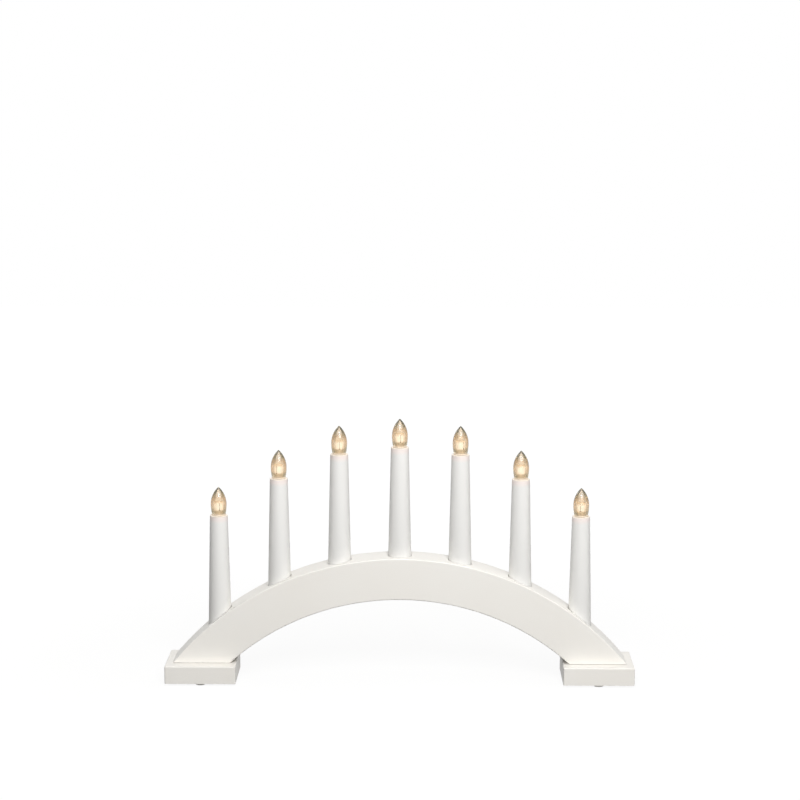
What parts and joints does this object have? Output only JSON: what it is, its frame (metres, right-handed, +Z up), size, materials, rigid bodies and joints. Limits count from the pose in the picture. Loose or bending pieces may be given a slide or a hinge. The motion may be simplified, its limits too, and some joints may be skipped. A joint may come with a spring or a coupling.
{
  "type": "electric candle arch",
  "caption": "White lacquered wooden candle arch on two feet, with hollow candle tubes that each carry a small screw-in lamp.",
  "frame": {"origin": "middle of the surface that the foot pads stand on", "axes": "+X along the arch, to the right seen from the front; +Z up; the front faces -Y"},
  "size_m": [0.47, 0.06, 0.2669],
  "materials": {
    "white_lacquered_wood": "sprayed satin lacquer over fine wood",
    "tube_plastic": "satin moulded",
    "white_plastic": "moulded",
    "felt": "pressed felt",
    "zinc_plated_steel": "bright zinc plated",
    "brass_sheet": "stamped and rolled",
    "nickel_plated_brass": "nickel plated, rolled thread",
    "black_insulator": "moulded, with a soldered contact",
    "glowing_guide": "clear core that glows warm white",
    "amber_hood": "clear tinted moulding",
    "wire_insulation": "extruded insulation"
  },
  "bodies": {
    "arch": {"arch_board": "white_lacquered_wood", "left_foot": "white_lacquered_wood", "right_foot": "white_lacquered_wood", "foot_screws": "zinc_plated_steel", "foot_pads": "felt", "cord_bush": "white_plastic", "lamp_wires": "wire_insulation", "wire_keepers": "white_plastic", "lamp_holders": "white_plastic", "thread_shells": "brass_sheet", "centre_contacts": "brass_sheet", "candle_tube_1": "tube_plastic", "candle_tube_2": "tube_plastic", "candle_tube_3": "tube_plastic", "candle_tube_4": "tube_plastic", "candle_tube_5": "tube_plastic", "candle_tube_6": "tube_plastic", "candle_tube_7": "tube_plastic"},
    "lamp_1_rise": {"lamp_foot_1": "black_insulator"},
    "lamp_1": {"lamp_cap_1": "nickel_plated_brass", "light_guide_1": "glowing_guide", "lamp_hood_1": "amber_hood"},
    "lamp_2_rise": {"lamp_foot_2": "black_insulator"},
    "lamp_2": {"lamp_cap_2": "nickel_plated_brass", "light_guide_2": "glowing_guide", "lamp_hood_2": "amber_hood"},
    "lamp_3_rise": {"lamp_foot_3": "black_insulator"},
    "lamp_3": {"lamp_cap_3": "nickel_plated_brass", "light_guide_3": "glowing_guide", "lamp_hood_3": "amber_hood"},
    "lamp_4_rise": {"lamp_foot_4": "black_insulator"},
    "lamp_4": {"lamp_cap_4": "nickel_plated_brass", "light_guide_4": "glowing_guide", "lamp_hood_4": "amber_hood"},
    "lamp_5_rise": {"lamp_foot_5": "black_insulator"},
    "lamp_5": {"lamp_cap_5": "nickel_plated_brass", "light_guide_5": "glowing_guide", "lamp_hood_5": "amber_hood"},
    "lamp_6_rise": {"lamp_foot_6": "black_insulator"},
    "lamp_6": {"lamp_cap_6": "nickel_plated_brass", "light_guide_6": "glowing_guide", "lamp_hood_6": "amber_hood"},
    "lamp_7_rise": {"lamp_foot_7": "black_insulator"},
    "lamp_7": {"lamp_cap_7": "nickel_plated_brass", "light_guide_7": "glowing_guide", "lamp_hood_7": "amber_hood"}
  },
  "joints": [
    {"name": "lamp_1_rise", "type": "slide", "parent": "arch", "child": "lamp_1_rise", "axis": [0, 0, 1], "range_m": [0, 0.00907]},
    {"name": "lamp_1_turn", "type": "hinge", "parent": "lamp_1_rise", "child": "lamp_1", "pos_m": [-0.1812, 0, 0.2], "axis": [0, 0, 1], "range_deg": [0, 1800]},
    {"name": "lamp_2_rise", "type": "slide", "parent": "arch", "child": "lamp_2_rise", "axis": [0, 0, 1], "range_m": [0, 0.00907]},
    {"name": "lamp_2_turn", "type": "hinge", "parent": "lamp_2_rise", "child": "lamp_2", "pos_m": [-0.1208, 0, 0.2], "axis": [0, 0, 1], "range_deg": [0, 1800]},
    {"name": "lamp_3_rise", "type": "slide", "parent": "arch", "child": "lamp_3_rise", "axis": [0, 0, 1], "range_m": [0, 0.00907]},
    {"name": "lamp_3_turn", "type": "hinge", "parent": "lamp_3_rise", "child": "lamp_3", "pos_m": [-0.0604, 0, 0.2], "axis": [0, 0, 1], "range_deg": [0, 1800]},
    {"name": "lamp_4_rise", "type": "slide", "parent": "arch", "child": "lamp_4_rise", "axis": [0, 0, 1], "range_m": [0, 0.00907]},
    {"name": "lamp_4_turn", "type": "hinge", "parent": "lamp_4_rise", "child": "lamp_4", "pos_m": [0, 0, 0.2], "axis": [0, 0, 1], "range_deg": [0, 1800]},
    {"name": "lamp_5_rise", "type": "slide", "parent": "arch", "child": "lamp_5_rise", "axis": [0, 0, 1], "range_m": [0, 0.00907]},
    {"name": "lamp_5_turn", "type": "hinge", "parent": "lamp_5_rise", "child": "lamp_5", "pos_m": [0.0604, 0, 0.2], "axis": [0, 0, 1], "range_deg": [0, 1800]},
    {"name": "lamp_6_rise", "type": "slide", "parent": "arch", "child": "lamp_6_rise", "axis": [0, 0, 1], "range_m": [0, 0.00907]},
    {"name": "lamp_6_turn", "type": "hinge", "parent": "lamp_6_rise", "child": "lamp_6", "pos_m": [0.1208, 0, 0.2], "axis": [0, 0, 1], "range_deg": [0, 1800]},
    {"name": "lamp_7_rise", "type": "slide", "parent": "arch", "child": "lamp_7_rise", "axis": [0, 0, 1], "range_m": [0, 0.00907]},
    {"name": "lamp_7_turn", "type": "hinge", "parent": "lamp_7_rise", "child": "lamp_7", "pos_m": [0.1812, 0, 0.2], "axis": [0, 0, 1], "range_deg": [0, 1800]}
  ],
  "couplings": [
    {"joint": "lamp_1_turn", "follows": "lamp_1_rise", "rad_per_m": 3463.7},
    {"joint": "lamp_2_turn", "follows": "lamp_2_rise", "rad_per_m": 3463.7},
    {"joint": "lamp_3_turn", "follows": "lamp_3_rise", "rad_per_m": 3463.7},
    {"joint": "lamp_4_turn", "follows": "lamp_4_rise", "rad_per_m": 3463.7},
    {"joint": "lamp_5_turn", "follows": "lamp_5_rise", "rad_per_m": 3463.7},
    {"joint": "lamp_6_turn", "follows": "lamp_6_rise", "rad_per_m": 3463.7},
    {"joint": "lamp_7_turn", "follows": "lamp_7_rise", "rad_per_m": 3463.7}
  ]
}
